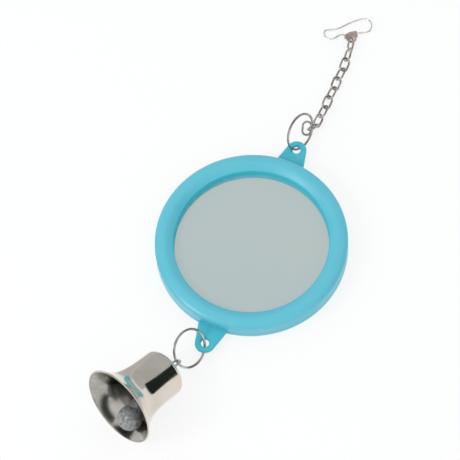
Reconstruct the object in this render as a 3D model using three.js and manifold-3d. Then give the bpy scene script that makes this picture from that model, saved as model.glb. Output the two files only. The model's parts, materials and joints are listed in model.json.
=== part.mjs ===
// A round toy mirror for a cage bird: a moulded turquoise frame that holds a glass mirror, with two lugs.
// A ring in the upper lug carries a fine chain with a wire clip, and a ring in the lower lug carries a bell.
// It is drawn lying on its back on a flat surface. Lengths are in millimetres and +Z is up.
// The origin is the middle of the flat back, and +Y runs along the two lugs towards the clip.
import * as THREE from "three";
import { mergeVertices } from "three/addons/utils/BufferGeometryUtils.js";
import Module from "manifold-3d";

const wasm = await Module();
wasm.setup();
const RAD = Math.PI / 180;

// Driving dimensions of the mirror
const mirrorRadius = 30;
const mirrorThick = 1.7;
const padThick = 0.7;
const padInset = 0.4;
const coverThick = 1.4;
const coverLedge = 0.9;
const sideGap = 0.1;
const snapDepth = 0.35;
const groove = { inset: 4.5, width: 1.2, depth: 0.4 };
const sideWall = 4.0;
const lipOverlap = 1.7;
const lipThick = 2.5;
const crestRise = 1.9;
const crestInset = 3.6;
const crestRound = 1.8;
const footRound = 0.7;

// Driving dimensions of the two lugs
const lugReach = 6.9;
const lugMidZ = 2.9;
const lugThick = 1.8;
const lugTipRadius = 3.7;
const lugRootHalf = 6.2;
const lugBore = 0.1;
const lugSink = 2.5;
const lugClearance = 0.8;

// Driving dimensions of the rings and the chain
const ringRadius = 6.95;
const ringWire = 0.9;
const ringSlant = 46;
const ringSeam = 48;
const linkWire = 0.8;
const linkPitch = 4.36;
const linkWidth = 3.9;
const wireGap = 0.15;
const seamGap = 0.2;
const floorGap = 0.04;

// Driving dimensions of the clip, seen in its own plane with u along it and v across it
const clipWire = 0.8;
const clipLength = 18.5;
const clipHalf = 3.6;
const claspSheet = 0.4;
const claspLength = 5.0;
const claspPlay = 0.32;
const claspLap = 0.48;
const claspFit = 0.05;
const tabSet = 1.6;
const tabClearance = 0.6;
const tabRim = 0.9;

// Driving dimensions of the bell
const bellHeight = 24;
const bellMouthRadius = 14.95;
const bellCrownRadius = 8.85;
const bellShoulder = 2.4;
const bellDome = 0.15;
const bellFlare = 3.8;
const bellEase = 1.5;
const bellWall = 0.7;
const bellLip = 0.3;
const hangerWire = 0.9;
const hangerTop = 5.9;
const hangerFoot = 4.9;
const neckGap = 0.24;
const neckPlay = 0.23;
const eyeSlack = 0.55;
const clapperLength = 17.6;
const clapperRadius = 4.5;
const clapperStem = 1.0;
const clapperEye = { play: 0.35, rim: 1.0, thick: 1.1, slack: 0.65 };

// How finely round forms are cut
const frameSegments = 56;
const lugCurve = 9;
const lugEdgeSteps = 3;
const ringSteps = 36;
const linkSteps = 22;
const loopSteps = 34;
const gateSteps = 20;
const tabCurve = 8;
const bellSegments = 36;
const eyeSteps = 48;
const clapperSegments = 20;
const eyeTabSides = 16;
const eyeBoreSides = 12;
const fineSides = 6;

// How the loose pieces lie
const upperRingShift = new THREE.Vector3(-0.45, 0.2, -0.07);
const upperRingNormal = new THREE.Vector3(0.918, -0.21, 0.336);
const upperRingReach = new THREE.Vector3(-0.043, 0.791, 0.61);
const lowerRingShift = new THREE.Vector3(-0.2, 0.05, -0.06);
const lowerRingNormal = new THREE.Vector3(0.8, -0.155, 0.58);
const lowerRingReach = new THREE.Vector3(-0.484, -0.734, 0.478);
const chainStation = 104;
const secondLink = { reach: 2.61, heading: 12.07, drop: 32.71, roll: -42, slack: 0.08 };
const looseSide = new THREE.Vector3(-0.92, -0.38, 0.04);
const chainHeading = [2, 0, -1, 1, -2, 1, -3, -8, -9];
const chainLean = 35;
const chainRoll = [52, -chainLean, chainLean, -chainLean, chainLean, -chainLean, chainLean, -48, 62];
const chainLift = [0.22, 0, 0, 0, 0, 0, 0.14, 0.5];
const tabLift = 0.25;
const clipHeading = 33.8;
const clipRest = -0.1;
const bellHeading = 21.3;
const bellStation = -151;

const colours = {
  frame: { color: 0x35b3c4, roughness: 0.28, metalness: 0 },
  mirror: { color: 0xc3cdcd, roughness: 0.03, metalness: 1 },
  pad: { color: 0xe6e1d6, roughness: 0.95, metalness: 0 },
  nickel: { color: 0xb9b6b1, roughness: 0.22, metalness: 1 },
  clip: { color: 0xd6d6d2, roughness: 0.2, metalness: 1 },
  clasp: { color: 0x9c8472, roughness: 0.35, metalness: 1 },
  bell: { color: 0xc9c4bb, roughness: 0.14, metalness: 1 },
  zinc: { color: 0x7d7d7c, roughness: 0.6, metalness: 0.7 },
};

const root = new THREE.Group();
root.name = "bird_mirror_with_bell";

// Adds one named mesh with a material of its own.
function add(name, geometry, look, parent = root) {
  const mesh = new THREE.Mesh(geometry, new THREE.MeshStandardMaterial(look));
  mesh.name = name;
  parent.add(mesh);
  return mesh;
}

// A three.js geometry as a solid that can be cut and joined.
function solid(geometry) {
  const bare = geometry.clone();
  bare.deleteAttribute("normal");
  bare.deleteAttribute("uv");
  const merged = mergeVertices(bare, 1e-4);
  return new wasm.Manifold(
    new wasm.Mesh({
      numProp: 3,
      vertProperties: merged.attributes.position.array,
      triVerts: new Uint32Array(merged.index.array),
    }),
  );
}

// A solid back as a three.js geometry.
function skin(body) {
  const mesh = body.getMesh();
  const geometry = new THREE.BufferGeometry();
  geometry.setAttribute("position", new THREE.BufferAttribute(new Float32Array(mesh.vertProperties), 3));
  geometry.setIndex(new THREE.BufferAttribute(new Uint32Array(mesh.triVerts), 1));
  geometry.computeVertexNormals();
  return geometry;
}

// A body turned about Z from a closed profile of [radius, height] pairs, listed anticlockwise.
function turned(profile, segments) {
  const points = profile.map(([r, z]) => new THREE.Vector2(r, z));
  points.push(points[0].clone());
  return new THREE.LatheGeometry(points, segments).rotateX(Math.PI / 2);
}

// A solid disc between two heights.
function disc(radius, low, high, segments) {
  return new THREE.CylinderGeometry(radius, radius, high - low, segments)
    .rotateX(Math.PI / 2)
    .rotateZ(Math.PI / 2)
    .translate(0, 0, (low + high) / 2);
}

// A round wire swept along a curve.
function wire(curve, diameter, steps, sides = 8) {
  const section = [];
  for (let i = 0; i < sides; i++) {
    const angle = ((i + 0.5) / sides) * 2 * Math.PI;
    section.push(new THREE.Vector2(Math.cos(angle), Math.sin(angle)).multiplyScalar(diameter / 2));
  }
  const options = { steps, extrudePath: curve, bevelEnabled: false };
  return new THREE.ExtrudeGeometry(new THREE.Shape(section), options);
}

// A flat oval loop with round ends, open by a small butt seam in the middle of one side.
class OvalLoop extends THREE.Curve {
  constructor(length, width, seam) {
    super();
    this.half = (length - width) / 2;
    this.round = width / 2;
    this.seam = seam;
  }
  getPoint(t, target = new THREE.Vector3()) {
    const arc = Math.PI * this.round;
    const side = 2 * this.half;
    const total = 2 * arc + 2 * side;
    let s = this.seam / 2 + t * (total - this.seam);
    if (s < this.half) return target.set(this.round, s, 0);
    s -= this.half;
    if (s < arc) {
      const a = s / this.round;
      return target.set(this.round * Math.cos(a), this.half + this.round * Math.sin(a), 0);
    }
    s -= arc;
    if (s < side) return target.set(-this.round, this.half - s, 0);
    s -= side;
    if (s < arc) {
      const a = Math.PI + s / this.round;
      return target.set(this.round * Math.cos(a), -this.half + this.round * Math.sin(a), 0);
    }
    s -= arc;
    return target.set(this.round, -this.half + s, 0);
  }
}

// A group whose own axes are the given ones.
function placed(origin, x, y, z) {
  const group = new THREE.Group();
  group.matrixAutoUpdate = false;
  group.matrix.makeBasis(x, y, z).setPosition(origin);
  root.add(group);
  return group;
}

// The frame: a rounded bezel with a rear seat for the mirror, and a lug at each end
const padTop = coverThick + padThick;
const mirrorFace = padTop + mirrorThick;
const seatRadius = mirrorRadius + sideGap;
const coverRadius = mirrorRadius + coverLedge;
const boreRadius = coverRadius + sideGap;
const frameRadius = boreRadius + sideWall;
const openingRadius = mirrorRadius - lipOverlap;
const crestRadius = frameRadius - crestInset;
const lipHeight = mirrorFace + lipThick;
const frameHeight = lipHeight + crestRise;
const sideWallTop = frameHeight - crestRound;
const snapMid = coverThick / 2;
const bezel = [[boreRadius, 0]];
const footSteps = 3;
for (let i = 0; i <= footSteps; i++) {
  const a = (i / footSteps) * 90 * RAD;
  bezel.push([frameRadius - footRound * (1 - Math.sin(a)), footRound * (1 - Math.cos(a))]);
}
bezel.push([frameRadius, sideWallTop]);
// The front is two easy curves that meet at the crest.
const crestSteps = 5;
for (let i = 1; i <= crestSteps; i++) {
  const a = (i / crestSteps) * 90 * RAD;
  bezel.push([crestRadius + crestInset * Math.cos(a), sideWallTop + crestRound * Math.sin(a)]);
}
const innerSweep = 40 * RAD;
for (let i = 1; i <= crestSteps; i++) {
  const a = (i / crestSteps) * innerSweep;
  const inward = Math.sin(a) / Math.sin(innerSweep);
  const fall = (1 - Math.cos(a)) / (1 - Math.cos(innerSweep));
  bezel.push([crestRadius - (crestRadius - openingRadius) * inward, frameHeight - crestRise * fall]);
}
bezel.push(
  [openingRadius, mirrorFace],
  [seatRadius, mirrorFace],
  [seatRadius, padTop],
  [boreRadius, padTop],
  [boreRadius, snapMid + snapDepth],
  [boreRadius + snapDepth, snapMid],
  [boreRadius, snapMid - snapDepth],
);

// A ring's wire passes each lug's hole at a slant, so the hole is straight for a short way only
// and the lug's edges are round.
const lugHoleY = frameRadius + lugReach;
const lugEdge = (lugThick - lugBore) / 2;
const slantedWire = (lugBore / 2) * Math.tan(ringSlant * RAD) + ringWire / 2 / Math.cos(ringSlant * RAD);
const lugHoleRadius = slantedWire + lugClearance;

// A tapered tongue with a round tip and a hole, drawn with its root on the axis and its tip towards +Y.
function lug() {
  const rootY = frameRadius - lugSink;
  const reach = lugHoleY - rootY;
  const slope = Math.atan2(lugRootHalf - lugTipRadius, reach);
  const outline = new THREE.Shape();
  outline.moveTo(-lugRootHalf, rootY);
  outline.lineTo(lugRootHalf, rootY);
  outline.absarc(0, lugHoleY, lugTipRadius, slope, Math.PI - slope, false);
  outline.closePath();
  const hole = new THREE.Path();
  hole.absarc(0, lugHoleY, lugHoleRadius, 0, 2 * Math.PI, true);
  outline.holes.push(hole);
  const options = {
    depth: lugBore,
    bevelThickness: lugEdge,
    bevelSize: lugEdge,
    bevelOffset: -lugEdge,
    bevelSegments: lugEdgeSteps,
    curveSegments: lugCurve,
  };
  return new THREE.ExtrudeGeometry(outline, options).translate(0, 0, lugMidZ - lugThick / 2 + lugEdge);
}

const upperLug = solid(lug());
const lowerLug = solid(lug().rotateZ(Math.PI));
const bezelRing = solid(turned(bezel, frameSegments));
add("mirror_frame", skin(bezelRing.add(upperLug).add(lowerLug)), colours.frame);

// The sandwich behind the opening: glass mirror, soft pad and snap-in rear cover
add("mirror_glass", disc(mirrorRadius, padTop, mirrorFace, frameSegments), colours.mirror);
add("backing_pad", disc(mirrorRadius - padInset, coverThick, padTop, frameSegments), colours.pad);
const grooveOuter = coverRadius - groove.inset;
const grooveInner = grooveOuter - groove.width;
const cover = turned(
  [
    [0, 0],
    [grooveInner, 0],
    [grooveInner, groove.depth],
    [grooveOuter, groove.depth],
    [grooveOuter, 0],
    [coverRadius, 0],
    [coverRadius, snapMid - snapDepth + sideGap],
    [coverRadius + snapDepth - sideGap, snapMid],
    [coverRadius, snapMid + snapDepth - sideGap],
    [coverRadius, coverThick],
    [0, coverThick],
  ],
  frameSegments,
);
add("rear_cover", cover, colours.frame);

// The jump rings through the two lugs, each given by the way it faces and the way it reaches from its hole
function jumpRing(name, hole, normal, reach) {
  const z = normal.clone().normalize();
  const x = reach.clone().addScaledVector(z, -reach.dot(z)).normalize();
  const y = z.clone().cross(x);
  const centre = hole.clone().addScaledVector(x, ringRadius);
  const circle = new THREE.EllipseCurve(0, 0, ringRadius, ringRadius, 0, 0, false, 0);
  const seamAngle = ringSeam * RAD;
  const gapAngle = seamGap / ringRadius;
  const line = new THREE.Curve();
  line.getPoint = (t, target = new THREE.Vector3()) => {
    const a = seamAngle + gapAngle / 2 + t * (2 * Math.PI - gapAngle);
    return target.set(circle.xRadius * Math.cos(a), circle.yRadius * Math.sin(a), 0);
  };
  const group = placed(centre, x, y, z);
  add(name, wire(line, ringWire, ringSteps), colours.nickel, group);
  // A point on the wire and the direction of the wire there, by the angle from the hole
  const at = (angle) => {
    const a = Math.PI + angle * RAD;
    return {
      point: centre
        .clone()
        .addScaledVector(x, ringRadius * Math.cos(a))
        .addScaledVector(y, ringRadius * Math.sin(a)),
      along: x
        .clone()
        .multiplyScalar(-Math.sin(a))
        .addScaledVector(y, Math.cos(a)),
    };
  };
  return { at, centre, normal: z };
}

const upperHole = new THREE.Vector3(0, lugHoleY, lugMidZ);
const lowerHole = new THREE.Vector3(0, -lugHoleY, lugMidZ);
const upperRing = jumpRing("upper_ring", upperHole.add(upperRingShift), upperRingNormal, upperRingReach);
const lowerRing = jumpRing("lower_ring", lowerHole.add(lowerRingShift), lowerRingNormal, lowerRingReach);

// Heights in the clip: the wire lies in a folded clasp, and the last link hangs on the clasp's upper leaf.
const claspWire = claspSheet + clipWire / 2 + 2 * claspFit;
const leafLow = claspWire - clipWire / 2 - claspFit - claspSheet;
const leafTop = claspWire + clipWire / 2 + claspFit;
const tabMid = leafTop + claspSheet / 2;

// The chain: oval links laid end to end, rolled to one side and the other in turn
const linkLength = linkPitch + wireGap + linkWire;
const linkAcross = linkWidth - linkWire;
const chainRise = (linkAcross / 2) * Math.sin(chainLean * RAD) + linkWire / 2 + floorGap;
const chainEnd = chainLift.map((lift) => chainRise + lift);
chainEnd.push(tabMid + tabLift);

// One link with its middle at a point, its width along x and its length along y.
function linkAt(name, middle, x, y) {
  const loop = new OvalLoop(linkLength, linkAcross, seamGap);
  const group = placed(middle, x, y, x.clone().cross(y));
  add(name, wire(loop, linkWire, linkSteps, fineSides), colours.nickel, group);
}

// One link with its length along a direction and its face rolled about that direction.
function link(name, middle, along, roll) {
  const y = along.clone().normalize();
  const level = y.clone().cross(new THREE.Vector3(0, 0, 1)).normalize();
  const up = level.clone().cross(y);
  const x = level
    .clone()
    .multiplyScalar(Math.cos(roll * RAD))
    .addScaledVector(up, -Math.sin(roll * RAD));
  linkAt(name, middle, x, y);
}

// The second link is round the ring, and the first hangs loose in it beside the ring's wire.
const linkName = (n) => "chain_link_" + String(n).padStart(2, "0");
const hookUp = upperRing.at(chainStation);
const secondAlong = new THREE.Vector3(
  Math.sin(secondLink.heading * RAD) * Math.cos(secondLink.drop * RAD),
  Math.cos(secondLink.heading * RAD) * Math.cos(secondLink.drop * RAD),
  -Math.sin(secondLink.drop * RAD),
);
const chainStart = hookUp.point.clone().addScaledVector(secondAlong, secondLink.reach);
const secondMiddle = chainStart.clone().addScaledVector(secondAlong, secondLink.slack - linkPitch / 2);
link(linkName(2), secondMiddle, secondAlong, secondLink.roll);
looseSide.addScaledVector(hookUp.along, -looseSide.dot(hookUp.along)).normalize();
const looseMiddle = hookUp.point
  .clone()
  .addScaledVector(secondAlong, -(ringWire + linkWire) / 2 - 2 * wireGap)
  .addScaledVector(looseSide, linkAcross / 2);
linkAt(linkName(1), looseMiddle, looseSide, hookUp.along);

let chainTip = chainStart;
chainHeading.forEach((heading, i) => {
  const drop = chainEnd[i] - chainTip.z;
  const run = Math.sqrt(linkPitch * linkPitch - drop * drop);
  const next = new THREE.Vector3(
    chainTip.x + run * Math.sin(heading * RAD),
    chainTip.y + run * Math.cos(heading * RAD),
    chainEnd[i],
  );
  const middle = chainTip.clone().add(next).multiplyScalar(0.5);
  link(linkName(i + 3), middle, next.clone().sub(chainTip), chainRoll[i]);
  chainTip = next;
});

// The wire clip: a sprung loop, its gate and the folded clasp that the gate's tip slips into.
// Points of its bent wire are shares of its length and of its half width.
const clipLoop = [
  [0.6, -0.667],
  [0.705, -0.681],
  [0.832, -0.768],
  [0.932, -0.551],
  [0.984, 0.116],
  [0.953, 0.754],
  [0.874, 1],
  [0.747, 1],
  [0.589, 0.855],
  [0.411, 0.565],
  [0.242, 0.348],
  [0.105, 0.406],
  [0.032, 0.435],
  [-0.005, 0.246],
  [-0.013, 0.058],
];
const clipGate = [
  [-0.013, -0.043],
  [0.003, -0.406],
  [0.053, -0.696],
  [0.121, -0.812],
  [0.2, -0.696],
  [0.274, -0.507],
  [0.358, -0.507],
  [0.432, -0.609],
  [0.505, -0.71],
];
const claspPlace = 0.511;
const wirePlace = -0.69;
const claspMid = claspPlace * clipLength;
const claspLeft = claspMid - claspLength / 2;
const claspRight = claspMid + claspLength / 2;
const claspWallV = wirePlace * clipHalf - clipWire / 2 - claspPlay;
const claspOpenV = wirePlace * clipHalf + clipWire / 2 + claspLap;
const tabHoleRadius = linkWire / 2 + tabClearance;
const tabHoleV = claspWallV - tabSet;
const clipAxis = new THREE.Vector3(Math.cos(clipHeading * RAD), Math.sin(clipHeading * RAD), 0);
const clipCross = new THREE.Vector3(-clipAxis.y, clipAxis.x, 0);
const clipLean = Math.atan2(claspWire - clipWire / 2, (1 - wirePlace) * clipHalf);
const clipV = clipCross
  .clone()
  .multiplyScalar(Math.cos(clipLean))
  .add(new THREE.Vector3(0, 0, -Math.sin(clipLean)));
const clipNormal = clipAxis.clone().cross(clipV);
const tabSeat = tabHoleV - tabHoleRadius + linkWire / 2 + wireGap;
const clipOrigin = chainTip
  .clone()
  .addScaledVector(clipAxis, -claspMid)
  .addScaledVector(clipV, -tabSeat);
clipOrigin.z = clipRest;
const clip = placed(clipOrigin, clipAxis, clipV, clipNormal);
const clipLine = (shares) => {
  const points = shares.map(([u, v]) => new THREE.Vector3(u * clipLength, v * clipHalf, claspWire));
  return new THREE.CatmullRomCurve3(points, false, "centripetal");
};
add("clip_loop", wire(clipLine(clipLoop), clipWire, loopSteps), colours.clip, clip);
add("clip_gate", wire(clipLine(clipGate), clipWire, gateSteps), colours.clip, clip);

// The clasp is a channel folded round the wire, with a tab for the last link on its top leaf.
function claspBody() {
  const across = claspOpenV - claspWallV;
  const leaf = (low) =>
    solid(
      new THREE.BoxGeometry(claspLength, across, claspSheet).translate(
        claspMid,
        claspWallV + across / 2,
        low + claspSheet / 2,
      ),
    );
  const wall = solid(
    new THREE.BoxGeometry(claspLength, claspSheet, leafTop + claspSheet - leafLow).translate(
      claspMid,
      claspWallV - claspSheet / 2,
      (leafLow + leafTop + claspSheet) / 2,
    ),
  );
  const outline = new THREE.Shape();
  outline.moveTo(claspRight, claspWallV + claspSheet / 4);
  outline.lineTo(claspLeft, claspWallV + claspSheet / 4);
  outline.lineTo(claspLeft, claspWallV - claspSheet);
  outline.absarc(claspMid, tabHoleV, tabHoleRadius + tabRim, Math.PI, 2 * Math.PI, false);
  outline.lineTo(claspRight, claspWallV - claspSheet);
  outline.closePath();
  const hole = new THREE.Path();
  hole.absarc(claspMid, tabHoleV, tabHoleRadius, 0, 2 * Math.PI, true);
  outline.holes.push(hole);
  const options = { depth: claspSheet, bevelEnabled: false, curveSegments: tabCurve };
  const tab = solid(new THREE.ExtrudeGeometry(outline, options).translate(0, 0, leafTop));
  return skin(leaf(leafLow).add(leaf(leafTop)).add(wall).add(tab));
}
add("clip_clasp", claspBody(), colours.clasp, clip);

// The bell lies on its side, with its eye on the lower ring and the edge of its mouth on the surface.
const eyeSeat = lowerRing.at(bellStation);
const eyeDrop = hangerTop - hangerWire / 2 - ringWire / 2 - wireGap;
const mouthDrop = eyeDrop + bellHeight - bellLip;
const mouthFall = (floorGap - eyeSeat.point.z) / Math.hypot(mouthDrop, bellMouthRadius);
const bellTilt = Math.atan2(bellMouthRadius, mouthDrop) + Math.asin(mouthFall);
const bellAxis = new THREE.Vector3(
  -Math.sin(bellHeading * RAD) * Math.cos(bellTilt),
  -Math.cos(bellHeading * RAD) * Math.cos(bellTilt),
  Math.sin(bellTilt),
);
const bellZ = bellAxis.clone().negate();
const bellY = eyeSeat.along.clone().addScaledVector(bellZ, -eyeSeat.along.dot(bellZ)).normalize();
const bellX = bellY.clone().cross(bellZ);
const crownTop = eyeSeat.point.clone().addScaledVector(bellAxis, eyeDrop);
const bell = placed(crownTop, bellX, bellY, bellZ);

// The bell's wall from the crown to the mouth, set in from the outside by a thickness.
function bellWallLine(inset) {
  const line = [];
  const round = bellShoulder - inset;
  const shoulderZ = -bellDome - bellShoulder;
  const shoulderSteps = 3;
  for (let i = 0; i < shoulderSteps; i++) {
    const a = (1 - i / shoulderSteps) * 90 * RAD;
    line.push([bellCrownRadius - bellShoulder + round * Math.cos(a), shoulderZ + round * Math.sin(a)]);
  }
  const flareSteps = 9;
  const flareEnd = bellLip - bellHeight;
  for (let i = 0; i <= flareSteps; i++) {
    const t = 1 - (1 - i / flareSteps) ** bellEase;
    const r = bellCrownRadius + (bellMouthRadius - bellCrownRadius) * t ** bellFlare;
    line.push([r - inset, shoulderZ + (flareEnd - shoulderZ) * t]);
  }
  return line;
}
const neckHalf = (hangerWire + neckGap) / 2;
const crownHoleRadius = neckHalf + hangerWire / 2 + neckPlay;
const bellInner = bellWallLine(bellWall);
const bellProfile = [
  [crownHoleRadius, 0],
  [crownHoleRadius, -bellWall],
  ...bellInner,
  [bellMouthRadius - bellWall, -bellHeight],
  [bellMouthRadius - bellLip, -bellHeight],
  ...bellWallLine(0).reverse(),
];
add("bell_shell", turned(bellProfile, bellSegments), colours.bell, bell);

// The eye is one wire pinched where it passes the crown, with a loop above and a loop below.
// Each half of a loop is a teardrop, in shares of the loop's half width and of its height.
const teardrop = [
  [0.6, 0.16],
  [0.9, 0.39],
  [1, 0.68],
  [0.69, 0.92],
];
const eyeHalf = (hangerWire + ringWire) / 2 + eyeSlack;
const footHalf = (hangerWire + clapperEye.thick) / 2 + clapperEye.slack;
const loopSide = (side, half, start, end) =>
  teardrop.map(([w, h]) => new THREE.Vector3(side * half * w, 0, start + (end - start) * h));
const footTop = -bellWall - floorGap;
const seamPoint = (shift) => new THREE.Vector3(-footHalf, 0, (footTop - hangerFoot) / 2 + shift * seamGap);
const neck = (side, z) => new THREE.Vector3(side * neckHalf, 0, z);
const upperLeft = loopSide(-1, eyeHalf, floorGap, hangerTop);
const upperRight = loopSide(1, eyeHalf, floorGap, hangerTop);
const lowerLeft = loopSide(-1, footHalf, footTop, -hangerFoot);
const lowerRight = loopSide(1, footHalf, footTop, -hangerFoot);
const eyeCurve = new THREE.CatmullRomCurve3(
  [
    seamPoint(0.5),
    ...lowerLeft.slice(0, 2).reverse(),
    neck(-1, footTop),
    neck(-1, floorGap),
    ...upperLeft,
    new THREE.Vector3(0, 0, hangerTop),
    ...upperRight.reverse(),
    neck(1, floorGap),
    neck(1, footTop),
    ...lowerRight,
    new THREE.Vector3(0, 0, -hangerFoot),
    ...lowerLeft.slice(2).reverse(),
    seamPoint(-0.5),
  ],
  false,
  "centripetal",
);
add("bell_eye", wire(eyeCurve, hangerWire, eyeSteps, fineSides), colours.nickel, bell);

// The clapper swings until its ball is close to the bell's wall.
function ballClearance(swing) {
  const y = clapperLength * Math.sin(swing);
  const z = -hangerFoot - clapperLength * Math.cos(swing);
  const ball = new THREE.Vector3(y, z, 0);
  const near = new THREE.Vector3();
  let least = Infinity;
  for (let i = 1; i < bellInner.length; i++) {
    const from = new THREE.Vector3(...bellInner[i - 1], 0);
    const to = new THREE.Vector3(...bellInner[i], 0);
    new THREE.Line3(from, to).closestPointToPoint(ball, true, near);
    least = Math.min(least, near.distanceTo(ball));
  }
  return least - clapperRadius;
}
const swingStep = 0.1 * RAD;
let clapperSwing = 0;
while (ballClearance(clapperSwing + swingStep) > wireGap) clapperSwing += swingStep;

// The clapper: a pear-shaped casting whose flat eye hangs on the lower loop
const clapper = new THREE.Group();
clapper.position.set(0, 0, -hangerFoot);
clapper.rotation.x = clapperSwing;
bell.add(clapper);
const pear = [];
const pearSteps = 9;
const pearSweep = 128 * RAD;
// The neck above the ball, in radii and in shares of the clapper's length
const pearNeck = [
  [0.66 * clapperRadius, 0.68],
  [2 * clapperStem, 0.46],
  [1.2 * clapperStem, 0.26],
];
for (let i = 0; i <= pearSteps; i++) {
  const a = (i / pearSteps) * pearSweep;
  pear.push([clapperRadius * Math.sin(a), -clapperLength - clapperRadius * Math.cos(a)]);
}
const eyeHole = hangerWire / 2 + clapperEye.play;
const stemTop = -eyeHole - clapperEye.rim / 2;
pear.push(
  ...pearNeck.map(([r, share]) => [r, -share * clapperLength]),
  [clapperStem, stemTop],
  [0, stemTop],
);
const across = (radius, length, sides) =>
  solid(new THREE.CylinderGeometry(radius, radius, length, sides).rotateZ(Math.PI / 2));
const eyeTab = across(eyeHole + clapperEye.rim, clapperEye.thick, eyeTabSides);
const eyeBore = across(eyeHole, 2 * (clapperEye.thick + clapperStem), eyeBoreSides);
const pearBody = solid(turned(pear, clapperSegments));
add("clapper", skin(pearBody.add(eyeTab).subtract(eyeBore)), colours.zinc, clapper);

export default root;
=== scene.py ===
"""Builds the fine surfaces and finishes of a bird mirror with a bell over its jointed frame."""

import json
import math

import bmesh
import bpy
import numpy as np
from bpy.props import FloatProperty, FloatVectorProperty, PointerProperty
from mathutils import Matrix, Vector


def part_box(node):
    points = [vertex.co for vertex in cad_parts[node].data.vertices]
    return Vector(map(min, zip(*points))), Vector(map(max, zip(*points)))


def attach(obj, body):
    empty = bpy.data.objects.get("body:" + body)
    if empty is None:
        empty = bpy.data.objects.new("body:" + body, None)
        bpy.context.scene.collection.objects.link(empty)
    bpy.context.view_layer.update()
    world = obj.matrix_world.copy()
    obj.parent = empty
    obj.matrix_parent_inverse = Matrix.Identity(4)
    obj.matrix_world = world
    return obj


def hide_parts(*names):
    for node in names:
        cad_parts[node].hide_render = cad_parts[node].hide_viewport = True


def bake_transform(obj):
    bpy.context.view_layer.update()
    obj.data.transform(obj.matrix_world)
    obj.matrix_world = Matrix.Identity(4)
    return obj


bl_info = {
    "name": "Bird Mirror with Bell",
    "version": (1, 0, 0),
    "blender": (4, 5, 0),
    "location": "View3D > Sidebar > Bird Mirror",
    "description": "Builds a toy mirror with its chain, clip and bell over a jointed frame",
    "category": "Object",
}

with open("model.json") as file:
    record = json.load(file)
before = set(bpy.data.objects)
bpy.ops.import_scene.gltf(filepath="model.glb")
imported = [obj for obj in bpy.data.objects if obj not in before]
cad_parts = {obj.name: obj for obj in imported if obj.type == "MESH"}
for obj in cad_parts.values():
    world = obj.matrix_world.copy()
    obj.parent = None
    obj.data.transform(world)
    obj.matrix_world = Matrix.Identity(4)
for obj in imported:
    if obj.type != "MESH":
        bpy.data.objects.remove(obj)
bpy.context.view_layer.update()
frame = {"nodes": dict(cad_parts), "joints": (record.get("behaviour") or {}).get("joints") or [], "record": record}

MM = 0.001
LINK_COUNT = 11
PIN_COUNT = 4
WHITE = (1, 1, 1, 1)
BLACK = (0, 0, 0, 1)

# Corners of the nodes that give the driving sizes
_, moulding_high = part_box("mirror_frame")
glass_low, glass_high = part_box("mirror_glass")
_, cover_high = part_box("rear_cover")

# How finely each shape is cut: segments round an axis, sides of a wire and steps along a line
FRAME_SEGMENTS = 192
GLASS_SEGMENTS = 160
COVER_SEGMENTS = 128
BELL_SEGMENTS = 160
CLAPPER_SEGMENTS = 64
EYE_SEGMENTS = 48
RING_SIDES = 20
WIRE_SIDES = 16
PIN_SIDES = 6
BEZEL_STEPS = 18
FOOT_STEPS = 8
LUG_STEPS = 40
LUG_EDGE_STEPS = 5
PIN_STEPS = 32
RING_STEPS = 150
LINK_STEPS = 26
CLIP_STEPS = 10
TAB_STEPS = 28
FOLD_STEPS = 16
SHOULDER_STEPS = 12
WALL_STEPS = 60
LIP_STEPS = 8
EYE_STEPS = 7
BALL_STEPS = 26
NECK_STEPS = 8


# Reading the frame


def node_points(node):
    """The distinct corners of a CAD node, one row each."""
    mesh = frame["nodes"][node].data
    flat = np.empty(len(mesh.vertices) * 3)
    mesh.vertices.foreach_get("co", flat)
    return np.unique(flat.reshape(-1, 3).round(decimals=7), axis=0)


def joint_named(name):
    """A joint's place and axis in the frame."""
    found = next(j for j in frame["joints"] if j["name"] == name)
    return Vector(found["pos_m"]), Vector(found["axis"]).normalized()


def mount_place(name):
    """The point of a mount in the frame."""
    return Vector(next(m for m in frame["record"]["mounts"] if m["name"] == name)["pos_m"])


def spread_axes(points):
    """Three unit directions of a set of points, from the widest spread to the narrowest."""
    centred = points - points.mean(axis=0)
    _, _, rows = np.linalg.svd(centred, full_matrices=False)
    return [Vector(row) for row in rows]


def square_to(direction, axis):
    """The unit part of a direction that is square to an axis."""
    return (direction - axis * direction.dot(axis)).normalized()


def placement(origin, x, z):
    """The matrix that carries the local x and z axes, and the y between them, to the given ones."""
    rotation = Matrix((x, z.cross(x), z)).transposed().to_4x4()
    return Matrix.Translation(origin) @ rotation


def heading(azimuth, elevation):
    """A unit direction, with azimuth 0 towards minus y and 90 degrees towards x."""
    flat = math.cos(elevation)
    return Vector((math.sin(azimuth) * flat, -math.cos(azimuth) * flat, math.sin(elevation)))


def oval_place(node):
    """Where an oval link lies: its width along x, its length along y and its face along z."""
    points = node_points(node)
    y, _, z = spread_axes(points)
    x = y.cross(z)
    along = np.array([x, y, z]) @ points.T
    middle = (along.min(axis=1) + along.max(axis=1)) / 2
    return placement(x * middle[0] + y * middle[1] + z * middle[2], x, z)


def ring_place(node, joint):
    """Where a jump ring lies, with its lug's hole on the local minus x side."""
    points = node_points(node)
    first, second, normal = spread_axes(points)
    flat = points @ np.array([first, second]).T
    rows = np.column_stack((2 * flat, np.ones(len(flat))))
    fit = np.linalg.lstsq(rows, (flat**2).sum(axis=1), rcond=None)[0]
    height = float((points @ np.array(normal)).mean())
    centre = first * fit[0] + second * fit[1] + normal * height
    hole, _ = joint_named(joint)
    return placement(centre, square_to(centre - hole, normal), normal)


def hung_axes(node):
    """The clapper's hinge, its axis, and the way up to it from the middle of a node."""
    hinge, x = joint_named("clapper_swing")
    return hinge, x, square_to(hinge - Vector(node_points(node).mean(axis=0)), x)


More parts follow.
